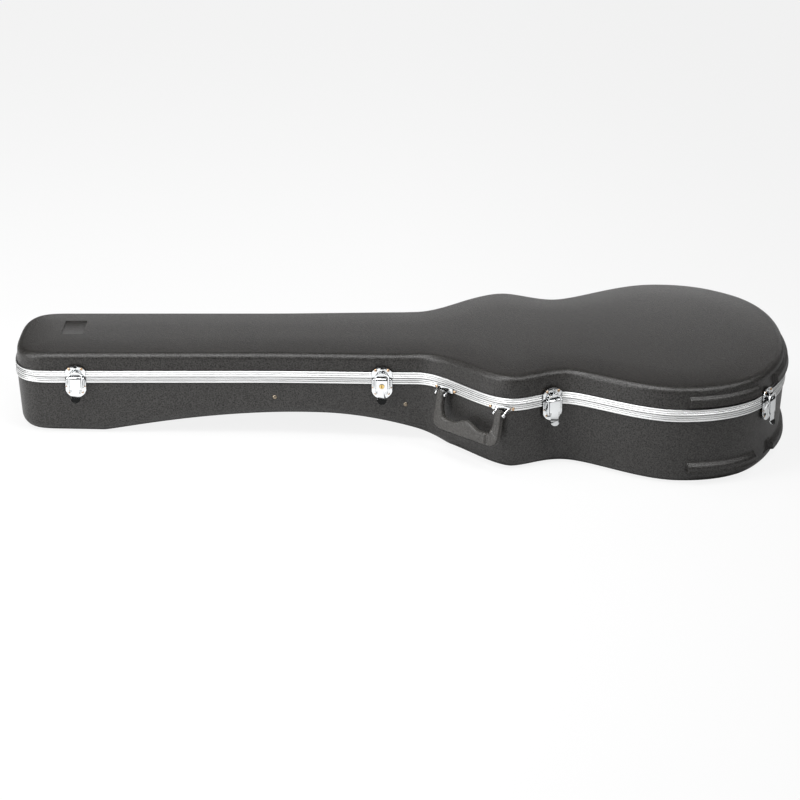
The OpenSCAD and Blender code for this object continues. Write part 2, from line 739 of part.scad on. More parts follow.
// height of the finger wave along the grip: one rise in the middle, two hollows
function wave(x) = abs(x) < 25 ? 4*cos(x*360/50) : -4 + 1.2*smooth((abs(x) - 34)/12);
module handle_profile() {
  difference() {
    union() {
      strip(grip_w, grip_corner.y, 33);
      strip(2*grip_corner.x, -61, 20);
      for (side = [-1, 1])
        translate([side*grip_corner.x, grip_corner.y]) circle(r = 16, $fn = 72);
    }
    polygon(concat([[-49.5, 0], [-49.5, -26], [-47.5, -39]],
                   [for (x = [-45:2.5:45]) [x, -40.6 + wave(x)]],
                   [[47.5, -39], [49.5, -26], [49.5, 0]]));
  }
}
module handle_grip() {
  color(grip_col) place() difference() {
    at_grip() union() {
      translate([0, grip_t/2, 0]) extrude_out(grip_t) handle_profile();
      for (side = [-1, 1])
        translate([span_start(side, grip_w/2 - leg_w, leg_w), 0, pivot_z])
          x_rod(grip_t/2, leg_w, 48);
    }
    handle_bore(2.2);
  }
}
// steel strap moulded inside the grip
module handle_core() {
  color(chrome_col) place() at_grip() translate([0, core_t/2, 0]) extrude_out(core_t)
    difference() {
      strip(117, -54, 36);
      strip(106, -47.5, 60);
    }
}
// strip on the front face of the rail, bent along the outline stations between x0 and x1
module bent_strip(x0, x1) {
  bottom = -9.2;
  top = -2.4;
  stations = [for (i = [0:last_station]) if (SIDE[i].x > x0 && SIDE[i].x < x1) i];
  translate([0, 0, bottom]) linear_extrude(height = top - bottom)
    polygon(concat(
      [for (i = stations) inset_point(i, -0.1)],
      [for (k = [len(stations)-1:-1:0]) inset_point(stations[k], -1.7)]));
}
// bracket: bent strip with two lugs for the pivot pin; i = 0: left, i = 1: right
module handle_bracket(i) {
  leg_x = (2*i - 1)*handle_half;
  difference() {
    union() {
      bent_strip(bracket_x[i][0], bracket_x[i][1]);
      for (k = [0, 1]) {
        root_y = lug_root_y[i][k];
        at_handle()
          translate([leg_x + (2*k - 1)*bracket_lug_half - bracket_lug_t/2, 0, 0])
            extrude_x(bracket_lug_t) union() {
              polygon([[root_y, -3], [pivot_y + 0.5, -8.6],
                       [pivot_y - 1.6, -14.6], [root_y, -8.6]]);
              translate([pivot_y, pivot_z]) circle(r = 3.2, $fn = 48);
            }
      }
    }
    handle_bore(handle_pin_r + 0.05);
  }
}
module handle_bracket_left() {
  color(chrome_col) place() handle_bracket(0);
}
module handle_bracket_right() {
  color(chrome_col) place() handle_bracket(1);
}
module handle_pins() {
  color(chrome_col) place() at_handle() for (side = [-1, 1])
    translate([side*handle_half - handle_pin_len/2, pivot_y, pivot_z])
      x_rod(handle_pin_r, handle_pin_len, 48);
}
module handle_rivets() {
  color(chrome_col) place() for (pair = bracket_rivet_x) for (x = pair) at_front(x)
    translate([0, -1.65, -5.6]) rivet(radius = 1.4, length = 8, head_r = 2.4, head_h = 1.1);
}

// ---- fabric stay that holds the open lid ----
stay_x = 514;
stay_y = 62;
stay_size = [3, 30, 34];
stay_middle_y = stay_y + stay_size.y/2;
anchor_w = 22;
anchor_t = 1.6;
anchor_y = stay_middle_y - anchor_w/2;
lid_pad_z = top_z(stay_x) - liner_in - pad_lid;   // underside of the lid padding
module anchor_rivet() {
  rivet(radius = 1.4, length = 12, head_r = 2.4, head_h = 1);
}
module lid_stay_strap() {
  color(strap_col) place() translate([stay_x, stay_y, -52]) cube(stay_size);
}
module lid_stay_anchor_base() {
  color(chrome_col) place() {
    translate([stay_x - 1.7, anchor_y, -46]) cube([anchor_t, anchor_w, 12]);
    for (offset_y = [-6, 6])
      translate([stay_x - 1.6, stay_middle_y + offset_y, -40]) rotate([0, 0, -90])
        anchor_rivet();
  }
}
module lid_stay_anchor_lid() {
  color(chrome_col) place() {
    translate([stay_x - 22, anchor_y, lid_pad_z - 1.7]) cube([12, anchor_w, anchor_t]);
    for (offset_y = [-6, 6])
      translate([stay_x - 16, stay_middle_y + offset_y, lid_pad_z - 1.6])
        rotate([90, 0, 0]) anchor_rivet();
  }
}

base_shell();
base_rail();
base_liner();
bulkhead_head();
bulkhead_body();
neck_rest_pads();
head_pad();
body_floor_pad();
compartment_wall();
compartment_lid();
compartment_hinge_pin();
compartment_pull_tab();
bulkhead_rivets();
hinge_leaves_base();
hinge_leaves_lid();
hinge_pins();
hinge_rivets_base();
hinge_rivets_lid();
lid_shell();
lid_rail();
lid_liner();
latch_keeper_1();
latch_keeper_2();
latch_keeper_3();
latch_keeper_4();
latch_plate_1();
latch_plate_2();
latch_plate_3();
latch_plate_4();
latch_lever_1();
latch_lever_2();
latch_lever_3();
latch_lever_4();
latch_bail_1();
latch_bail_2();
latch_bail_3();
latch_bail_4();
latch_pins();
lock_cylinder();
latch_rivets_lid();
latch_rivets_base();
handle_grip();
handle_core();
handle_bracket_left();
handle_bracket_right();
handle_pins();
handle_rivets();
lid_stay_strap();
lid_stay_anchor_base();
lid_stay_anchor_lid();
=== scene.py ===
"""A hard, waisted instrument case with lid, ribbed rails, latches, carry handle and padded lining.

Case frame, millimetres: x runs along the case from the head (-x) to the tail (+x), the handle is
on the front (-y), z is up and the lid meets the base at z = 0. to_world() turns the case about Y
so that its sloping underside is level, and gives metres in the frame of the CAD pieces.
"""
import bpy, bmesh, json, math
import numpy as np
from mathutils import Vector, Matrix

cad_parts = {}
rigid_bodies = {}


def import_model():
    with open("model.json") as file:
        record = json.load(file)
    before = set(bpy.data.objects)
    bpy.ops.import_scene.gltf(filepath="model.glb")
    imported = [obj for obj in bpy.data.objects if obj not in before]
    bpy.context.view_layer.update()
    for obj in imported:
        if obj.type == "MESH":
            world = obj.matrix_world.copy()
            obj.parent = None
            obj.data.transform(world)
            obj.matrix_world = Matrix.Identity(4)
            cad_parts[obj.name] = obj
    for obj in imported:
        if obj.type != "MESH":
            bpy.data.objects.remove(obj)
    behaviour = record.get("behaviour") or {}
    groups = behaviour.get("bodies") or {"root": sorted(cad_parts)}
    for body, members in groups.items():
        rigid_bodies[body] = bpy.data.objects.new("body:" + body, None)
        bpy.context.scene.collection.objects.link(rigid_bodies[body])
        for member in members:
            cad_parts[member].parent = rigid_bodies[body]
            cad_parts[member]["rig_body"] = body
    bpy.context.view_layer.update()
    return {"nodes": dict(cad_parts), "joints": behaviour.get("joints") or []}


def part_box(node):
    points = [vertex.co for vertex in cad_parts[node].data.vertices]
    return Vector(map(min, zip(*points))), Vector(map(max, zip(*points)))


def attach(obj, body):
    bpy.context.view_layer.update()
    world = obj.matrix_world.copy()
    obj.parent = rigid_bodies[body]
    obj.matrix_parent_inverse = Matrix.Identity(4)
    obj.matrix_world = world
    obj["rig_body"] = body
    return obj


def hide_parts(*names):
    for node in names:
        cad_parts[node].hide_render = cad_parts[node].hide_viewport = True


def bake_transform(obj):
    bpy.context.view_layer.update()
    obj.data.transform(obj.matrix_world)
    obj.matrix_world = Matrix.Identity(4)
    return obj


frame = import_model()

scene = bpy.context.scene

# ---------------------------------------------------------------- sizes of the case (mm)
# half widths along the case, and where they are reached
NECK_W, NECK_FLARE, UPPER_W, WAIST_W, LOWER_W = 94.3, 5.7, 185.5, 158.0, 227.5
NECK_X, UPPER_X, WAIST_X, TAIL_X = 25.0, 155.0, 229.0, 387.0
SHIFT = 17.5                                   # the body's centre line lies this far to the front
# rounded ends: length and power of each superellipse
HEAD_LEN, HEAD_POWER = 70.0, 3.2
TAIL_LEN, TAIL_POWER = 170.0, 2.2
HEAD_X = -556.0 + HEAD_LEN
UNDER_Z, SLOPE = -96.2, 0.0195                 # underside at x = 0, and its fall towards the tail
WALL = 3.0
PARTING_INSET = 2.0                            # shell behind the rail face at the parting plane
WALL_START = 9.0                               # height above or below z = 0 where the wall leans
PAD_INSET = WALL + 0.8                         # lining behind the shell's outer face
OUTLINE_STEP = 4.0

TILT = -math.atan(SLOPE)
ORIGIN_X = 300.0
ORIGIN = np.array([ORIGIN_X, -SHIFT, UNDER_Z - SLOPE * ORIGIN_X])


# ---------------------------------------------------------------- curves
def smoothstep(t):
    c = np.clip(t, 0, 1)
    return c * c * (3 - 2 * c)


def ease(x, start, end):
    return smoothstep((np.asarray(x, float) - start) / (end - start))


def mix(a, b, t):
    return a + (b - a) * t


def half_width(x):
    """Half width between the two rounded ends."""
    x = np.asarray(x, float)
    neck_end = NECK_W + NECK_FLARE
    lower = smoothstep(np.clip((x - WAIST_X) / (TAIL_X - WAIST_X), 0, 1) ** 0.8)
    return np.where(x < NECK_X, NECK_W + NECK_FLARE * ease(x, -200, 20),
           np.where(x < UPPER_X, mix(neck_end, UPPER_W, ease(x, NECK_X, UPPER_X)),
           np.where(x < WAIST_X, mix(UPPER_W, WAIST_W, ease(x, UPPER_X, WAIST_X)),
                    mix(WAIST_W, LOWER_W, lower))))


def centre_y(x):
    return -SHIFT * ease(x, 10, 160) + 0.55 * SHIFT * ease(x, 480, TAIL_X + TAIL_LEN)


def top_z(x):
    return mix(33.0, 39.0, ease(x, 0, 110))


def bottom_z(x):
    """The sloping underside, lifted in a long arch under the neck."""
    x = np.asarray(x, float)
    arch = np.where(x < -115, smoothstep(np.clip((x + 425) / 310, 0, 1) ** 0.6),
                    smoothstep(np.clip((70 - x) / 185, 0, 1) ** 0.6))
    return UNDER_Z - SLOPE * x + 34.0 * arch


def turn(vector):
    """A direction from the case frame to the world frame."""
    v = np.asarray(vector, float)
    x = v[..., 0] * math.cos(TILT) + v[..., 2] * math.sin(TILT)
    z = -v[..., 0] * math.sin(TILT) + v[..., 2] * math.cos(TILT)
    return np.stack([x, v[..., 1], z], -1)


def to_world(points):
    """Points from the case frame in millimetres to the world frame in metres."""
    return turn(np.asarray(points, float) - ORIGIN) / 1000.0


def rounded_end(angles, length, width, power):
    return length * np.cos(angles) ** (2 / power), width * np.sin(angles) ** (2 / power)


def half_outline():
    """x, half width and arc length from the head tip to the tail tip, finely sampled."""
    head_x, head_w = rounded_end(np.linspace(0, math.pi / 2, 900), HEAD_LEN, NECK_W, HEAD_POWER)
    tail_x, tail_w = rounded_end(np.linspace(math.pi / 2, 0, 1200), TAIL_LEN, LOWER_W, TAIL_POWER)
    middle = np.linspace(HEAD_X, TAIL_X, 3000)[1:-1]
    x = np.concatenate([HEAD_X - head_x, middle, TAIL_X + tail_x])
    width = np.concatenate([head_w, half_width(middle), tail_w])
    arc = np.concatenate([[0], np.cumsum(np.hypot(np.diff(x), np.diff(width)))])
    return x, width, arc


OUTLINE_X, OUTLINE_W, OUTLINE_ARC = half_outline()
ARC_END = OUTLINE_ARC[-1]


def stations(step, dense_at=(), dense_step=0.0, reach=0.0):
    """Arc lengths along the half outline, closer together within reach of each x in dense_at."""
    arcs = list(np.linspace(0, ARC_END, int(ARC_END / step) + 1))
    for x in dense_at:
        c = float(np.interp(x, OUTLINE_X, OUTLINE_ARC))
        arcs = [v for v in arcs if abs(v - c) > reach]
        arcs += list(np.arange(c - reach, c + reach + 1e-6, dense_step))
    arcs = np.array(sorted(v for v in arcs if 0 <= v <= ARC_END))
    arcs[0] = 0
    arcs[-1] = ARC_END
    return arcs


def closed_outline(arcs):
    """Points and outward normals from the head tip along the front, and back along the rear."""
    def place(arc, side):
        # arcs before the head tip or past the tail tip carry on along the other side
        past = np.abs(arc) > ARC_END
        folded = np.where(past, 2 * ARC_END - np.abs(arc), np.abs(arc))
        x = np.interp(folded, OUTLINE_X * 0 + OUTLINE_ARC, OUTLINE_X)
        width = np.interp(folded, OUTLINE_ARC, OUTLINE_W)
        sign = np.where(arc < 0, -1.0, 1.0) * np.where(past, -1.0, 1.0)
        return np.stack([x, centre_y(x) + side * sign * width], -1)

    points, normals = [], []
    nudge = 0.15
    for side in (-1, 1):
        d = place(arcs + nudge, side) - place(arcs - nudge, side)
        length = np.hypot(d[:, 0], d[:, 1])
        points.append(place(arcs, side))
        normals.append(np.stack([d[:, 1], -d[:, 0]], -1) / length[:, None] * (-side))
    return tuple(np.concatenate([half[0], half[1][1:-1][::-1]]) for half in (points, normals))


def ring(outline, inset, z):
    """The outline moved inwards and set at a height; both may be numbers or functions of x."""
    points, normals = outline
    count = len(points)
    depth = np.zeros(count) + (inset(points[:, 0]) if callable(inset) else float(inset))
    xy = points - normals * depth[:, None]
    return np.column_stack([xy, np.zeros(count) + (z(xy[:, 0]) if callable(z) else float(z))])


class Half:
    """Lid or base: the wall leans in away from z = 0 and rounds into the flat top or bottom."""

    def __init__(self, up, edge_radius, lean, flat_z):
        self.up, self.edge_radius, self.lean, self.flat_z = up, edge_radius, lean, flat_z

    def inset(self, z):
        return PARTING_INSET + self.lean * np.maximum(0, self.up * z - WALL_START)

    def edge_z(self, x):
        """Height where the wall ends and the round edge begins."""
        return self.flat_z(x) - self.up * self.edge_radius

    def edge_inset(self, x):
        return self.inset(self.edge_z(x))

    def edge_rings(self, outline, depth, angles):
        """Rings of the round edge, depth inside the outer face; angle 0 is at the wall."""
        radius = self.edge_radius - depth
        return [ring(outline,
                     lambda x: self.edge_inset(x) + depth + radius * (1 - math.cos(a)),
                     lambda x: self.edge_z(x) + self.up * radius * math.sin(a)) for a in angles]


LID = Half(up=1, edge_radius=9.0, lean=0.08, flat_z=top_z)
BASE = Half(up=-1, edge_radius=16.0, lean=0.065, flat_z=bottom_z)


# ---------------------------------------------------------------- shader nodes
def wire(tree, node, inputs):
    """Sets inputs by name or number: sockets are linked, other values are stored."""
    for key, value in inputs.items():
        if isinstance(value, bpy.types.NodeSocket):
            tree.links.new(value, node.inputs[key])
        else:
            node.inputs[key].default_value = value


def add_node(tree, kind, inputs, **settings):
    node = tree.nodes.new("ShaderNode" + kind)
    for key, value in settings.items():
        setattr(node, key, value)
    wire(tree, node, inputs)
    return node


def new_material(name):
    material = bpy.data.materials.new(name)
    material.use_nodes = True
    tree = material.node_tree
    coords = add_node(tree, "TexCoord", {}).outputs["Object"]
    return material, tree, tree.nodes["Principled BSDF"], coords


def grey(value):
    return (value,) * 3


def shade(colour, factor):
    return tuple(k * factor for k in colour)


def noise(tree, vector, **inputs):
    return add_node(tree, "TexNoise", {"Vector": vector, **inputs}).outputs["Fac"]


def ramp(tree, factor, *stops):
    """Two stops, each a position and a colour."""
    node = add_node(tree, "ValToRGB", {"Fac": factor})
    for element, (position, colour) in zip(node.color_ramp.elements, stops):
        element.position = position
        element.color = (*colour, 1)
    return node.outputs["Color"]


def multiply(tree, first, second):
    return add_node(tree, "Mix", {"Factor": 1.0, 6: first, 7: second},
                    data_type="RGBA", blend_type="MULTIPLY").outputs[2]


def bump(tree, height, strength, distance):
    inputs = {"Strength": strength, "Distance": distance, "Height": height}
    return add_node(tree, "Bump", inputs).outputs["Normal"]


def paint_crevice_shade(tree, colour, distance, darkest, samples=4):
    """Paints shade into a colour where the surface meets its neighbours: darker in seams and
    crevices, read from ambient occlusion.
    """
    occlusion = add_node(tree, "AmbientOcclusion", {"Distance": distance}, samples=samples)
    dark = ramp(tree, occlusion.outputs["AO"], (0.35, grey(darkest)), (0.92, grey(1)))
    return multiply(tree, colour, dark)


# ---------------------------------------------------------------- materials (lengths in metres)
def shell_material():
    """Dark grained moulding with dull pits, glossier tops, and painted shade that darkens its
    colour and gloss in seams and crevices.
    """
    material, tree, shader, coords = new_material("moulded_shell")
    # seam: how far the painted shade in seams and crevices reaches
    seam = 0.007
    fine = noise(tree, coords, Scale=640.0, Detail=2.0, Roughness=0.6)
    cells = add_node(tree, "TexVoronoi", {"Vector": coords, "Scale": 560.0}, feature="SMOOTH_F1")
    wide = noise(tree, coords, Scale=9.0, Detail=4.0)
    grain = add_node(tree, "Math", {0: cells.outputs["Distance"], 1: 0.7, 2: fine},
                     operation="MULTIPLY_ADD").outputs[0]
    colour = ramp(tree, grain, (0.45, (0.0051, 0.0048, 0.0045)), (0.95, (0.0275, 0.0259, 0.0241)))
    patches = ramp(tree, wide, (0.3, grey(0.93)), (0.7, (1.05, 1.04, 1.03)))
    # painted shade: the colour darkens in seams and crevices
    colour = paint_crevice_shade(tree, multiply(tree, colour, patches), distance=seam, darkest=0.45)
    gloss = ramp(tree, grain, (0.45, grey(0.28)), (0.95, grey(0.62)))
    # painted shade in the reflections: the gloss is lowered in seams and crevices
    gloss = paint_crevice_shade(tree, gloss, distance=seam, darkest=0.35)
    wire(tree, shader, {
        "Base Color": colour,
        "Specular IOR Level": ramp(tree, gloss, (0.0, grey(0)), (1.0, grey(1))),
        "Roughness": ramp(tree, fine, (0.3, grey(0.34)), (0.7, grey(0.46))),
        "Normal": bump(tree, grain, strength=0.6, distance=0.0006)})
    return material


def metal(name, colour, roughness, grain_scale, variation, grain=(1, 1, 1), bumpiness=0.0,
          seam=0.0025, seam_shade=0.12, samples=6):
    """Metal with a noise grain; seam is how far the painted shade at joints reaches."""
    material, tree, shader, coords = new_material(name)
    stretched = add_node(tree, "Mapping", {"Vector": coords, "Scale": grain}).outputs["Vector"]
    grains = noise(tree, stretched, Scale=grain_scale, Detail=3.0)
    tones = ramp(tree, grains, (0.3, shade(colour, 1 - variation)),
                 (0.7, shade(colour, 1 + variation * 0.4)))
    # painted shade: the base colour darkens at joints, grooves and crevices
    wire(tree, shader, {
        "Base Color": paint_crevice_shade(tree, tones, seam, seam_shade, samples),
        "Metallic": 1.0,
        "Roughness": ramp(tree, grains, (0.3, grey(roughness * 0.8)),
                          (0.75, grey(roughness * 1.3)))})
    if bumpiness:
        wire(tree, shader, {"Normal": bump(tree, grains, bumpiness, distance=0.0002)})
    return material


def plush(name, colour, pile_scale, bumpiness):
    """Matt cloth with a fine pile, broad soft patches and a sheen."""
    material, tree, shader, coords = new_material(name)
    pile = noise(tree, coords, Scale=pile_scale, Detail=4.0, Roughness=0.7)
    patches = noise(tree, coords, Scale=26.0, Detail=3.0, Distortion=0.8)
    tones = ramp(tree, pile, (0.32, shade(colour, 0.45)), (0.68, shade(colour, 1.5)))
    broad = ramp(tree, patches, (0.35, grey(0.85)), (0.65, grey(1.12)))
    wire(tree, shader, {
        "Base Color": multiply(tree, tones, broad),
        "Roughness": 0.95,
        "Specular IOR Level": 0.15,
        "Sheen Weight": 0.6,
        "Sheen Roughness": 0.45,
        "Sheen Tint": (*[k * 5 + 0.1 for k in colour], 1),
        "Normal": bump(tree, pile, bumpiness, distance=0.0012)})
    return material


def weave(name, colour):
    """Crossed bands of thread along Y and Z."""
    material, tree, shader, coords = new_material(name)
    bands = {"Vector": coords, "Scale": 177.419355, "Distortion": 0.3}
    threads = [add_node(tree, "TexWave", bands, bands_direction=axis).outputs["Fac"]
               for axis in "YZ"]
    crossed = add_node(tree, "Math", {0: threads[0], 1: threads[1]},
                       operation="MULTIPLY").outputs[0]
    wire(tree, shader, {
        "Base Color": ramp(tree, crossed, (0.1, shade(colour, 0.5)), (0.8, shade(colour, 1.6))),
        "Roughness": 0.85,
        "Normal": bump(tree, crossed, strength=0.6, distance=0.0005)})
    return material


def soft_plastic(name, colour, roughness, cell_scale, bumpiness, bump_depth):
    """Pebbled plastic or leather, with painted shade in its creases and where it meets other
    parts.
    """
    material, tree, shader, coords = new_material(name)
    mottle = noise(tree, coords, Scale=cell_scale * 0.9, Detail=2.0)
    cells = add_node(tree, "TexVoronoi", {"Vector": coords, "Scale": cell_scale})
    tones = ramp(tree, mottle, (0.3, shade(colour, 0.55)), (0.7, shade(colour, 1.7)))
    # painted shade: the colour darkens in creases and where the part meets its neighbours
    wire(tree, shader, {
        "Base Color": paint_crevice_shade(tree, tones, distance=0.004, darkest=0.3),
        "Roughness": roughness,
        "Specular IOR Level": 0.45,
        "Normal": bump(tree, cells.outputs["Distance"], bumpiness, bump_depth)})
    return material


SHELL = shell_material()
ALUMINIUM = metal("satin_aluminium", (0.905, 0.912, 0.91), 0.36, grain_scale=60.0, variation=0.03,
                  grain=(0.2, 0.2, 1), seam=0.0016, seam_shade=0.22, samples=14)
CHROME = metal("bright_chrome", (0.88, 0.90, 0.91), 0.09, grain_scale=180.0, variation=0.05,
               bumpiness=0.02, seam=0.0038, seam_shade=0.04)
STEEL = metal("plain_steel", (0.55, 0.55, 0.56), 0.32, grain_scale=900.0, variation=0.15,
              grain=(1, 0.1, 1))
DULL_BRASS = metal("dull_brass", (0.66, 0.46, 0.30), 0.30, grain_scale=900.0, variation=0.25)
PLATED = metal("plated_steel", (0.66, 0.67, 0.69), 0.24, grain_scale=220.0, variation=0.10,
               seam=0.003)
BRASS = metal("polished_brass", (0.83, 0.60, 0.24), 0.16, grain_scale=600.0, variation=0.15)
GRIP = soft_plastic("grip_plastic", (0.046, 0.044, 0.041), roughness=0.38, cell_scale=560.0,
                    bumpiness=0.8, bump_depth=0.0005)
DULL = metal("dull_rivet", (0.30, 0.25, 0.19), 0.42, grain_scale=900.0, variation=0.35,
             seam=0.003, seam_shade=0.1)
PLUSH = plush("black_plush", (0.031, 0.0305, 0.032), pile_scale=900.0, bumpiness=0.9)
BOARD = plush("cloth_board", (0.025, 0.0245, 0.0255), pile_scale=1400.0, bumpiness=0.5)
RIBBON = weave("woven_ribbon", (0.020, 0.020, 0.024))
TAB = soft_plastic("tab_leather", (0.035, 0.028, 0.024), roughness=0.6, cell_scale=900.0,
                   bumpiness=0.35, bump_depth=0.0003)


# ---------------------------------------------------------------- mesh helpers
def smooth(mesh, angle):
    """Smooth shading, with edges sharper than angle (degrees) kept crisp."""
    mesh.polygons.foreach_set("use_smooth", [True] * len(mesh.polygons))
    mesh.set_sharp_from_angle(angle=math.radians(angle))


def add_object(name, data):
    obj = bpy.data.objects.new(name, data)
    scene.collection.objects.link(obj)
    return obj


def register(obj, body, node):
    if body:
        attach(obj, body)
    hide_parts(node)


def build(name, verts, faces, material, body, node, angle):
    """An object from vertices in the world frame."""
    mesh = bpy.data.meshes.new(name)
    mesh.from_pydata([tuple(v) for v in verts], [], faces)
    bm = bmesh.new()
    bm.from_mesh(mesh)
    bmesh.ops.remove_doubles(bm, verts=bm.verts, dist=1e-6)
    bmesh.ops.recalc_face_normals(bm, faces=bm.faces)
    bm.to_mesh(mesh)
    bm.free()
    mesh.validate()
    smooth(mesh, angle)
    obj = add_object(name, mesh)
    mesh.materials.append(material)
    register(obj, body, node)
    return obj


def bake(obj, angle):
    """Applies the modifiers and smooths the result."""
    depsgraph = bpy.context.evaluated_depsgraph_get()
    depsgraph.update()
    mesh = bpy.data.meshes.new_from_object(obj.evaluated_get(depsgraph),
                                           preserve_all_data_layers=True, depsgraph=depsgraph)
    obj.modifiers.clear()
    obj.data = mesh
    smooth(mesh, angle)


def tube_faces(rings, size, closed=False):
    """Quads joining rings of equal size; closed also joins the last ring to the first."""
    faces = []
    for k in range(rings if closed else rings - 1):
        a, b = k * size, (k + 1) % rings * size
        for i in range(size):
            j = (i + 1) % size
            faces.append((a + i, a + j, b + j, b + i))
    return faces


def loft(rings, columns):
    """Joins rings from the outer cap over the rim to the inner cap; caps are cross grids."""
    size = len(rings[0])
    tail = size // 2
    last = (len(rings) - 1) * size
    verts = [p for r in rings for p in r]
    faces = [(a, d, c, b) for a, b, c, d in tube_faces(len(rings), size)]
    for start, cap in ((0, rings[0]), (last, rings[-1])):
        grid = [[start] * (columns + 1)]
        for i in range(1, tail):
            front, rear = cap[i], cap[size - i]
            first = len(verts)
            verts += [front + (rear - front) * (c / columns) for c in range(1, columns)]
            grid.append([start + i, *range(first, len(verts)), start + size - i])
        grid.append([start + tail] * (columns + 1))
        for near, far in zip(grid, grid[1:]):
            for c in range(columns):
                # at the two tips the corners coincide and the quad becomes a triangle
                face = tuple(dict.fromkeys((near[c], far[c], far[c + 1], near[c + 1])))
                if len(face) > 2:
                    faces.append(face if start == 0 else face[::-1])
    return np.array(verts), faces


# ---------------------------------------------------------------- moulded shells
SHELL_OUTLINE = closed_outline(stations(OUTLINE_STEP, dense_at=(397.0, 499.5, 527.5, 519.0),
                                        dense_step=0.55, reach=3.2))


def band_x(x):
    """Where along x the raised band round the tail stands out; it has one gap."""
    return ease(x, 396.2, 398.0) * (1 - ease(x, 498.6, 500.2)) + ease(x, 526.8, 528.2)


def recess_x(x):
    """Where along x a narrow recess sits in the gap of the band."""
    return ease(x, 517.8, 519.4) * (1 - ease(x, 526.2, 527.4))


def swell(level, amount, start, full, fall, end):
    """Rises from start to full and drops again from fall to end."""
    return amount * smoothstep((level - start) / (full - start)) * (
        1 - smoothstep((level - fall) / (end - fall)))


def shell_rings(half, levels, depth, band, lip, recess, outer_steps, inner_steps):
    """Levels are distances from z = 0 where the wall ends depth beyond WALL_START; elsewhere
    they are scaled. band, lip and recess are swell() arguments over the levels."""
    quarter = math.pi / 2
    start = half.up * WALL_START
    rings = half.edge_rings(SHELL_OUTLINE, 0.0, np.linspace(quarter, 0, outer_steps))
    for level in levels:
        fraction = (level - WALL_START) / depth
        raised = swell(level, *band) + swell(level, *lip)
        sunk = swell(level, *recess)

        def height(x):
            return start + fraction * (half.edge_z(x) - start)

        rings.append(ring(SHELL_OUTLINE, lambda x: (
            half.inset(height(x)) - raised * band_x(x) + sunk * recess_x(x)), height))
    # the rim, stepped round the rail and back up to the inner face
    lip_z = half.up * 1.7
    inner = PARTING_INSET + WALL
    rings += [ring(SHELL_OUTLINE, inset, z)
              for inset, z in ((PARTING_INSET, lip_z), (inner, lip_z), (inner, start))]
    return rings + half.edge_rings(SHELL_OUTLINE, WALL, np.linspace(0, quarter, inner_steps))


def crown(verts, height=2.4, reach=62.0):
    """The top swells from its rolled edge by the distance from the edge ring."""
    edge = verts[:len(SHELL_OUTLINE[0])]
    top = np.nonzero(verts[:, 2] > top_z(verts[:, 0]) - 0.05)[0]
    for part in np.array_split(top, 24):
        gaps = verts[part, None, :2] - edge[None, ::2, :2]
        distance = np.sqrt((gaps ** 2).sum(-1)).min(1)
        verts[part, 2] += height * (1 - (1 - np.clip(distance / reach, 0, 1)) ** 2)


def cut_box(obj, low, high, name, angle):
    """Cuts a soft-edged box, given in the case frame, out of obj."""
    corners = [(x, y, z) for x in (low[0], high[0]) for y in (low[1], high[1])
               for z in (low[2], high[2])]
    mesh = bpy.data.meshes.new(name)
    mesh.from_pydata([tuple(v) for v in to_world(corners)], [],
                     [(0, 1, 3, 2), (4, 6, 7, 5), (0, 4, 5, 1), (2, 3, 7, 6), (0, 2, 6, 4),
                      (1, 5, 7, 3)])
    tool = add_object(name, mesh)
    bm = bmesh.new()
    bm.from_mesh(mesh)
    bmesh.ops.recalc_face_normals(bm, faces=bm.faces)
    bmesh.ops.bevel(bm, geom=bm.edges[:], offset=0.0006, segments=2, affect="EDGES", profile=0.5)
    bm.to_mesh(mesh)
    bm.free()
    cut = obj.modifiers.new("cut", "BOOLEAN")
    cut.operation = "DIFFERENCE"
    cut.object = tool
    cut.solver = "EXACT"
    bake(obj, angle)
    bpy.data.objects.remove(tool)


def build_shells():
    verts, faces = loft(shell_rings(
        LID, depth=21.0, outer_steps=9, inner_steps=4,
        levels=(29.4, 28.6, 27.8, 27.0, 26.2, 25.4, 24.6, 22, 19, 16, 13.9, 13.3, 12.7, 12.1,
                11.5, 10.6, 9.4, 9.0),
        band=(4.8, 12.0, 13.2, 22.8, 27.6), lip=(0.9, 12.2, 13.2, 13.7, 15.6),
        recess=(1.6, 12.0, 13.4, 26.0, 28.0)), columns=40)
    crown(verts)
    lid = build("lid_shell_moulding", to_world(verts), faces, SHELL, "lid", "lid_shell",
                angle=50)
    verts, faces = loft(shell_rings(
        BASE, depth=80.0, outer_steps=10, inner_steps=5,
        levels=(88.4, 87.9, 87.3, 86.7, 86.0, 84, 82, 80.7, 79.6, 78.5, 77.3, 76.1, 74.9, 73.7,
                72.5, 71.3, 70.1, 68.9, 67.7, 66.5, 62, 56, 50, 44, 38, 32, 26, 20, 14, 9.0),
        band=(6.6, 70.0, 79.6, 86.2, 88.0), lip=(1.1, 84.2, 85.8, 86.4, 87.6),
        recess=(1.8, 68.0, 71.0, 86.4, 88.2)), columns=24)
    build("base_shell_moulding", to_world(verts), faces, SHELL, "base", "base_shell",
          angle=50)
    # badge recess in the top of the lid near the head
    cut_box(lid, (-490.75, -12.0, 33.4), (-459.25, 46.0, 44.0), "badge_tool", angle=50)


build_shells()


# ---------------------------------------------------------------- edge rails
def rib_profile(near=0.3, far=8.7):
    """(inset, height) of a rail's outer face: three rounded ribs with two grooves between."""
    points = [(0.7, near), (0.15, near + 0.3)]
    edges = [near + 0.3, 3.1, 5.8, far - 0.3]
    for rib, (low, high) in enumerate(zip(edges, edges[1:])):
        if rib > 0:
            points += [(0.85, low - 0.22), (0.85, low + 0.22), (0.25, low + 0.5)]
        points += [(0.0, low + 0.9), (0.0, high - 0.8)]
        if rib < 2:
            points.append((0.25, high - 0.5))
    return points + [(0.15, far - 0.25), (0.5, far), (1.3, far)]


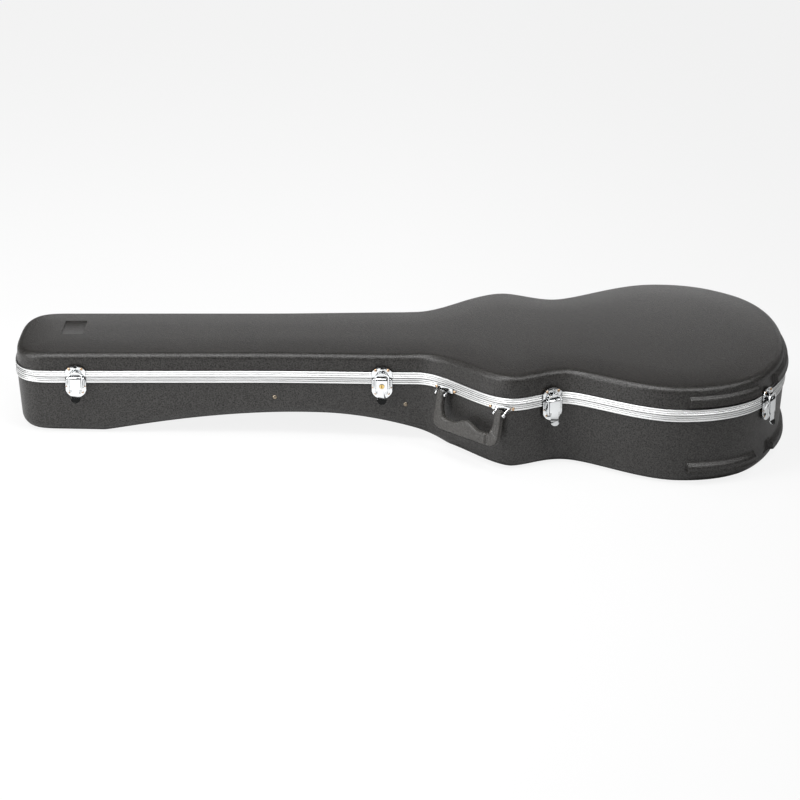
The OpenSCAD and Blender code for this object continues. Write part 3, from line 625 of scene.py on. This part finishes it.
def build_rail(body, profile):
    outline = closed_outline(stations(OUTLINE_STEP))
    verts = np.concatenate([ring(outline, inset, z) for inset, z in profile])
    faces = tube_faces(len(profile), len(outline[0]), closed=True)
    build(body + "_rail_ribbed", to_world(verts), faces, ALUMINIUM, body, body + "_rail",
          angle=28)


# the inner side of each profile clasps the shell's rim; the base rail also has an upright tongue
build_rail("lid", rib_profile() + [
    (1.85, 8.6), (1.85, 1.5), (5.2, 1.5), (5.2, 8.7), (6.4, 8.7), (6.4, 0.3)])
build_rail("base", [(inset, -z) for inset, z in rib_profile()] + [
    (1.85, -8.6), (1.85, -1.5), (5.2, -1.5), (5.2, -8.7), (8.4, -8.7), (8.6, -8.4), (8.6, 4.6),
    (8.2, 5.0), (7.2, 5.0), (6.8, 4.6), (6.8, -0.3)])


# ---------------------------------------------------------------- CAD parts that keep their shape
def copy_cad(node, name, material, tidy):
    """A welded copy of a CAD piece; tidy also merges flat faces and resets material indices."""
    mesh = frame["nodes"][node].data.copy()
    mesh.materials.clear()
    mesh.materials.append(material)
    if "custom_normal" in mesh.attributes:
        mesh.attributes.remove(mesh.attributes["custom_normal"])
    bm = bmesh.new()
    bm.from_mesh(mesh)
    bmesh.ops.remove_doubles(bm, verts=bm.verts, dist=2e-6)
    if tidy:
        bmesh.ops.dissolve_limit(bm, angle_limit=math.radians(1.0), verts=bm.verts,
                                 edges=bm.edges, delimit=set())
        for face in bm.faces:
            face.material_index = 0
    bm.to_mesh(mesh)
    bm.free()
    return add_object(name, mesh)


def soften(node, material, width, segments=2):
    """Replaces a CAD piece by a copy with bevelled edges; width is in metres."""
    name = node + "_finished"
    obj = copy_cad(node, name, material, tidy=True)
    obj.data.name = name
    bevel = obj.modifiers.new("edge", "BEVEL")
    bevel.width = width
    bevel.segments = segments
    bevel.limit_method = "ANGLE"
    bevel.angle_limit = math.radians(32)
    bevel.use_clamp_overlap = True
    bake(obj, 40)
    register(obj, frame["nodes"][node]["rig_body"], node)


for number in range(1, 5):
    for part, width, segments in (("keeper", 0.00028, 2), ("plate", 0.00028, 2),
                                  ("lever", 0.0004, 3), ("bail", 0.00045, 3)):
        soften(f"latch_{part}_{number}", CHROME, width, segments)

# material, slot, CAD pieces
FITTINGS = (
    (DULL_BRASS, "rivet_brass", "latch_rivets_lid latch_rivets_base"),
    (DULL, "rivet_brass", "bulkhead_rivets"),
    (BRASS, "lock_brass", "lock_cylinder"),
    (CHROME, "chrome", "handle_bracket_left handle_bracket_right"),
    (DULL_BRASS, "chrome", "handle_rivets"),
    (STEEL, "steel", "handle_pins latch_pins"),
    (PLATED, "chrome", "hinge_leaves_base hinge_leaves_lid"),
    (STEEL, "steel", "hinge_pins"),
    (PLATED, "chrome", "hinge_rivets_base hinge_rivets_lid"),
    (BOARD, "board", "bulkhead_head bulkhead_body compartment_wall compartment_lid"),
    (TAB, "tab", "compartment_pull_tab"),
    (STEEL, "steel", "compartment_hinge_pin handle_core"),
    (PLATED, "chrome", "lid_stay_anchor_base lid_stay_anchor_lid"),
)
for material, slot, nodes in FITTINGS:
    for node in nodes.split():
        soften(node, material, 0.0008 if material is BOARD else 0.00025)


# ---------------------------------------------------------------- carry handle
# The handle frame has x along the front of the case, y into the case and z up.
HANDLE_FROM_X, HANDLE_TO_X = 65.0, 141.0       # the case front between these gives the direction
HANDLE_HALF, HANDLE_CORNER = 62.0, 16.0        # outer half length and outer corner radius
HANDLE_TOP_Z, HANDLE_BEND_Z = -9.0, -45.0      # top of the legs, start of the outer corner
PIVOT_Y, PIVOT_Z = -7.5, -12.0
HANG = math.radians(10.6)                      # the handle swings out by this angle
LEG_THICK = 4.0                                # half thickness of the legs


def handle_curves():
    """Outer and inner edge of the handle as (x, z) rows, from the left leg to the right leg."""
    def grip_wave(x):
        if abs(x) < 25:
            return 4 * math.cos(x * 2 * math.pi / 50)
        return -4 + 1.2 * float(smoothstep((abs(x) - 34) / 12))

    def complete(left, hold):
        points = np.array(left + hold + [(-x, z) for x, z in reversed(left)])
        for _ in range(3):
            points[1:-1] = 0.25 * points[:-2] + 0.5 * points[1:-1] + 0.25 * points[2:]
        return points

    bend_x, inner_bend_x = HANDLE_HALF - HANDLE_CORNER, 42.4
    outer, inner = [], []
    for k in np.linspace(0, 1, 14):
        outer.append((-HANDLE_HALF, mix(HANDLE_TOP_Z, HANDLE_BEND_Z, k)))
        inner.append((-49.5 + 0.6 * k * k, HANDLE_TOP_Z - 21 * k))
    for k in np.linspace(0, 1, 18)[1:]:
        a = math.pi + k * math.pi / 2
        outer.append((-bend_x + HANDLE_CORNER * math.cos(a),
                      HANDLE_BEND_Z + HANDLE_CORNER * math.sin(a)))
        inner.append((-inner_bend_x - 6.5 * (1 - k) ** 1.2, -43.0 + 13.0 * (1 - k) ** 2.2))
    across = np.linspace(-1, 1, 72)[1:-1]
    outer_hold = [(bend_x * k, HANDLE_BEND_Z - HANDLE_CORNER) for k in across]
    inner_hold = [(inner_bend_x * k, -40.6 + grip_wave(inner_bend_x * k)) for k in across]
    return complete(outer, outer_hold), complete(inner, inner_hold)


def handle_section(width, thick):
    """Closed section from half width and half thickness, with a seam ridge on both edges."""
    radius = min(2.6, thick - 0.9)

    def corner(x_side, y_side, quarter):
        angles = np.linspace(quarter * math.pi / 2, (quarter + 1) * math.pi / 2, 5)
        return [(x_side * (width - radius) + radius * math.cos(a),
                 y_side * (thick - radius) - radius * math.sin(a)) for a in angles]

    shoulder = -(thick - radius)
    points = [(width, 1.1), (width + 0.6, 0.7), (width + 0.6, -0.6), (width, -1.0),
              (width - 0.15, shoulder), (width + 0.25, shoulder - 0.5),
              (width + 0.15, shoulder - 1.1)]
    points += corner(1, -1, 0)
    points += [((width - radius) * k, -thick) for k in (0.5, 0, -0.5)]
    points += corner(-1, -1, 1)
    points += [(-width, -0.9), (-width - 0.3, -0.4), (-width - 0.3, 0.6), (-width, 1.1)]
    return points + corner(-1, 1, 2) + corner(1, 1, 3)


def build_handle():
    ends = [np.array([x, float(centre_y(x) - half_width(x))])
            for x in (HANDLE_FROM_X, HANDLE_TO_X)]
    middle = (ends[0] + ends[1]) / 2
    along = (ends[1] - ends[0]) / np.linalg.norm(ends[1] - ends[0])
    inward = np.array([-along[1], along[0]])
    outer, inner = handle_curves()
    verts = []

    def put(x, y, z):
        """Adds a point of the upright handle, swung about its pivot."""
        drop = z - PIVOT_Z
        swung_y = PIVOT_Y + y * math.cos(HANG) + drop * math.sin(HANG)
        xy = middle + along * x + inward * swung_y
        verts.append((xy[0], xy[1], PIVOT_Z - y * math.sin(HANG) + drop * math.cos(HANG)))

    def cross(k):
        """Centre, half width and width direction of the strip at point k."""
        half = (outer[k] - inner[k]) / 2
        width = float(np.linalg.norm(half))
        return (outer[k] + inner[k]) / 2, width, half / width

    count = len(outer)
    for k in range(count):
        centre, width, direction = cross(k)
        hold = float(smoothstep((-38.0 - centre[1]) / 8.0))    # 0 on the legs, 1 on the hand hold
        crease = math.exp(-((centre[0] - 40.5) / 1.5) ** 2) * hold
        section = handle_section(width, LEG_THICK + 0.9 * hold - 1.5 * crease)
        for x, y in section:
            p = centre + direction * x
            put(p[0], y, p[1])
    size = len(section)
    faces = tube_faces(count, size)
    # domed ends: the section shrinks as it is lifted
    for end in (0, count - 1):
        previous = list(range(end * size, (end + 1) * size))
        centre, width, direction = cross(end)
        for scale, lift in ((0.96, 0.9), (0.84, 1.7), (0.62, 2.3), (0.3, 2.7)):
            first = len(verts)
            for x, y in handle_section(width, LEG_THICK):
                p = centre + direction * x * scale
                put(p[0], y * scale, p[1] + lift)
            new = list(range(first, len(verts)))
            for i in range(size):
                j = (i + 1) % size
                faces.append((previous[i], previous[j], new[j], new[i]))
            previous = new
        faces.append(tuple(previous))
    build("handle_grip_moulded", to_world(verts), faces, GRIP, "handle", "handle_grip",
          angle=60)


build_handle()

# ---------------------------------------------------------------- padding
PAD_OUTLINE = closed_outline(stations(6.0))
PAD_EDGE_ANGLES = np.radians((90, 60, 30, 0))


def build_lining(half, body, rings):
    """Lining from its outer side, which follows the shell, over the rolled rim and inside."""
    outside = half.edge_rings(PAD_OUTLINE, PAD_INSET, PAD_EDGE_ANGLES)
    verts, faces = loft(outside + [ring(PAD_OUTLINE, inset, z) for inset, z in rings], columns=20)
    build(body + "_lining_padded", to_world(verts), faces, PLUSH, body, body + "_liner",
          angle=60)


def base_lining():
    rim = float(BASE.inset(-12)) + PAD_INSET
    side_inset, side_z = rim + 8.9, -20.5      # top of the inner side, below the rolled rim
    fillet = 9.0                               # radius between side and floor

    def fillet_inset(x):
        return BASE.edge_inset(x) + PAD_INSET + fillet

    def floor_z(x):
        """The floor padding is thinner between the head and the body."""
        padding = 22 - 16 * ease(x, -215, -187) * (1 - ease(x, 16, 46))
        return bottom_z(x) + PAD_INSET + padding

    rings = [(rim + 0.4, -16.5)]
    rings += [(rim + 4.5 - 4.1 * math.cos(a), -15.5 + 3.4 * math.sin(a))
              for a in np.linspace(0, math.pi, 9)]
    rings += [(rim + 8.2, -17.5), (side_inset, side_z)]
    rings += [(lambda x, f=f: mix(side_inset, fillet_inset(x), f) + 0.5 * math.sin(f * 3.1),
               lambda x, f=f: mix(side_z, floor_z(x) + fillet, f)) for f in (0.25, 0.5, 0.75, 1.0)]
    rings += [(lambda x, a=a: fillet_inset(x) + fillet * (1 - math.cos(a)),
               lambda x, a=a: floor_z(x) + fillet * (1 - math.sin(a)))
              for a in map(math.radians, (25, 50, 72, 90))]
    build_lining(BASE, "base", rings)


def lid_lining():
    rim = float(LID.inset(12)) + PAD_INSET
    rings = [(rim + 3.2 - 2.9 * math.cos(a), 14.0 - 2.4 * math.sin(a))
             for a in np.linspace(0, math.pi, 8)]
    rings += [(rim + 6.4 + 9.0 * f ** 1.6,
               lambda x, f=f: mix(14.5, top_z(x) - PAD_INSET - 12.0, 1 - (1 - f) ** 1.7))
              for f in (0.2, 0.45, 0.7, 0.88, 1.0)]
    build_lining(LID, "lid", rings)


def build_cushion(name, node):
    """A cushion from its CAD solid: remeshed and smoothed until its edges are soft."""
    obj = copy_cad(node, name, PLUSH, tidy=False)
    remesh = obj.modifiers.new("remesh", "REMESH")
    remesh.mode = "VOXEL"
    remesh.voxel_size = 0.0022
    soft = obj.modifiers.new("smooth", "SMOOTH")
    soft.factor = 0.6
    soft.iterations = 5
    bake(obj, 70)
    register(obj, "base", node)


base_lining()
lid_lining()
build_cushion("neck_saddles_padded", "neck_rest_pads")
build_cushion("head_cushion_padded", "head_pad")
build_cushion("body_floor_cushion", "body_floor_pad")


# ---------------------------------------------------------------- woven stay (world frame, metres)
def stay_path():
    """Base anchor, lid anchor and the ribbon's rest path, chosen so that a blend between
    base and lid would draw it into a slightly sagging line when the lid is fully open."""
    hinge = [j for j in frame["joints"] if j["name"] == "lid_hinge"][0]
    pivot, axis = np.array(hinge["pos_m"]), np.array(hinge["axis"])
    opening = math.radians(hinge["range_deg"][1])

    def swing(point, angle):
        v = point - pivot
        return (pivot + v * math.cos(angle) + np.cross(axis, v) * math.sin(angle)
                + axis * np.dot(axis, v) * (1 - math.cos(angle)))

    low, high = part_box("lid_stay_strap")
    start = np.array([(low.x + high.x) / 2 - 0.0012, (low.y + high.y) / 2,
                      low.z + (high.z - low.z) * 0.35])
    low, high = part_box("lid_stay_anchor_lid")
    end = np.array([(low.x + high.x) / 2, (low.y + high.y) / 2, low.z + 0.0008])
    open_end = swing(end, opening)
    chord = end - start
    path = []
    steps = 60
    for k in range(steps + 1):
        s = k / steps
        sag = math.sin(math.pi * s)
        target = start + (open_end - start) * s + np.array([-0.010 * sag, 0, -0.012 * sag])
        # find the blend weight at which the rest point swings onto the target
        weight = s
        for _ in range(60):
            rest = swing(target, -weight * opening)
            t = min(1, max(0, float(np.dot(rest - start, chord) / np.dot(chord, chord))))
            weight = 0.7 * weight + 0.3 * (t * t * (3 - 2 * t))
        path.append(swing(target, -weight * opening))
    return start, end, np.array(path)


def build_stay():
    start, end, path = stay_path()
    tangents = np.gradient(path, axis=0)
    tangents /= np.linalg.norm(tangents, axis=1)[:, None]
    across = turn((1, 0, 0))
    normals = np.cross(tangents, across)
    normals /= np.linalg.norm(normals, axis=1)[:, None]
    half_wide, half_thick = 0.0072, 0.00055
    # one face of the ribbon: place across and thickness, with a fuller selvedge at both edges
    face = ((-1, 1), (-0.93, 1.15), (-0.4, 1), (0, 1), (0.4, 1), (0.93, 1.15), (1, 1))
    section = [(half_wide * x, -half_thick * h) for x, h in face]
    section += [(half_wide * x, half_thick * h) for x, h in reversed(face)]
    verts = [p + across * x + n * h for p, n in zip(path, normals) for x, h in section]
    size = len(section)
    faces = tube_faces(len(path), size)
    faces += [tuple(range(size)), tuple(range(len(verts) - size, len(verts)))[::-1]]
    ribbon = build("lid_stay_ribbon", verts, faces, RIBBON, None, "lid_stay_strap",
                   angle=50)
    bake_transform(ribbon)


build_stay()


# ---------------------------------------------------------------- floor, world (metres)
def floor_material():
    """The camera sees an evenly lit white table with a faint shadow; other rays meet a matt
    floor with painted shade that darkens it towards +x, so the case's right side reflects less
    light."""
    material, tree, shader, coords = new_material("pale_floor")
    axes = add_node(tree, "SeparateXYZ", {0: coords})
    # painted shade: the floor's colour falls from 0.80 to 0.46 between x = -0.30 and 0.40
    along = add_node(tree, "MapRange", {"Value": axes.outputs["X"], "From Min": -0.30,
                                        "From Max": 0.40}).outputs[0]
    wire(tree, shader, {
        "Roughness": 0.9,
        "Specular IOR Level": 0.1,
        "Base Color": ramp(tree, along, (0.0, grey(0.80)), (1.0, grey(0.46)))})
    rays = add_node(tree, "LightPath", {})
    glow = add_node(tree, "Emission", {"Strength": 1.0})
    share = add_node(tree, "Math", {0: rays.outputs["Is Camera Ray"], 1: 0.86},
                     operation="MULTIPLY")
    blend = add_node(tree, "MixShader", {0: share.outputs[0], 1: shader.outputs[0],
                                         2: glow.outputs[0]})
    wire(tree, tree.nodes["Material Output"], {"Surface": blend.outputs[0]})
    return material


def build_floor(half=14.0):
    material = floor_material()
    mesh = bpy.data.meshes.new("floor")
    mesh.from_pydata([(-half, -half, 0), (half, -half, 0), (half, half, 0), (-half, half, 0)],
                     [], [(0, 1, 2, 3)])
    mesh.materials.append(material)
    floor = add_object("floor", mesh)
    floor.location.z = -0.0008


def build_world(seen=1.0, cast=0.02):
    """White to the camera, and only a faint fill light for the case."""
    world = bpy.data.worlds.new("studio")
    scene.world = world
    world.use_nodes = True
    tree = world.node_tree
    rays = add_node(tree, "LightPath", {})
    strength = add_node(tree, "Mix", {0: rays.outputs["Is Camera Ray"], 2: cast, 3: seen},
                        data_type="FLOAT")
    wire(tree, tree.nodes["Background"], {"Strength": strength.outputs[0],
                                          "Color": (1, 1, 1, 1)})


build_floor()
build_world()

# ---------------------------------------------------------------- lights (metres, watts)
LIGHTS_X = -0.25                               # the x values below are measured from here
# name, place, target, width, height, power
LIGHTS = (
    ("key_left_top", (-1.1, -1.0, 2.3), (-0.1, 0.0, 0.05), 0.8, 0.8, 36.0),
    ("overhead", (-0.35, -0.15, 1.9), (-0.1, 0.0, 0.05), 1.5, 0.5, 16.0),
    ("left_soft", (-2.36, -1.1, 1.0), (0.0, -0.1, 0.05), 1.0, 1.0, 38.0),
    ("front_right", (2.0, -1.9, 0.9), (0.0, -0.1, 0.05), 1.2, 1.2, 3.0),
    ("back_low", (0.05, 0.41, 0.205), (0.05, 0.1, 0.13), 1.4, 0.08, 0.55),
    ("back_wall", (0.0, 3.0, 0.38), (0.0, 0.0, 0.14), 6.0, 0.7, 3.0),
    ("right_high", (1.75, -0.1, 1.75), (0.4, -0.05, 0.08), 0.8, 0.8, 9.0),
    ("right_glint", (0.95, -0.95, 1.9), (0.4, -0.22, 0.08), 0.8, 0.5, 19.0),
)
for name, place, target, width, height, power in LIGHTS:
    light = bpy.data.lights.new(name, "AREA")
    light.energy = power
    light.shape = "RECTANGLE"
    light.size = width
    light.size_y = height
    lamp = add_object(name, light)
    place, target = (Vector((LIGHTS_X + x, y, z)) for x, y, z in (place, target))
    lamp.location = place
    lamp.visible_camera = False
    lamp.rotation_euler = (target - place).to_track_quat("-Z", "Y").to_euler()


# ---------------------------------------------------------------- camera
def build_camera():
    """Looks from the front, down by a fixed angle in the case frame."""
    lens = bpy.data.cameras.new("camera")
    camera = add_object("camera", lens)
    pitch = math.radians(21.0)
    place = to_world((0.0, -3562.2, 1323.7))
    right = turn((1, 0, 0))
    up = turn((0, math.sin(pitch), math.cos(pitch)))
    back = -turn((0, math.cos(pitch), -math.sin(pitch)))
    rows = [tuple(map(float, row)) for row in zip(right, up, back, place)]
    camera.matrix_world = Matrix((*rows, (0, 0, 0, 1)))
    lens.sensor_width = 36.0
    lens.lens = 117.315
    lens.shift_y = -0.0225
    lens.clip_end = 100
    scene.camera = camera


build_camera()
scene.view_settings.view_transform = "Standard"
scene.view_settings.look = "None"
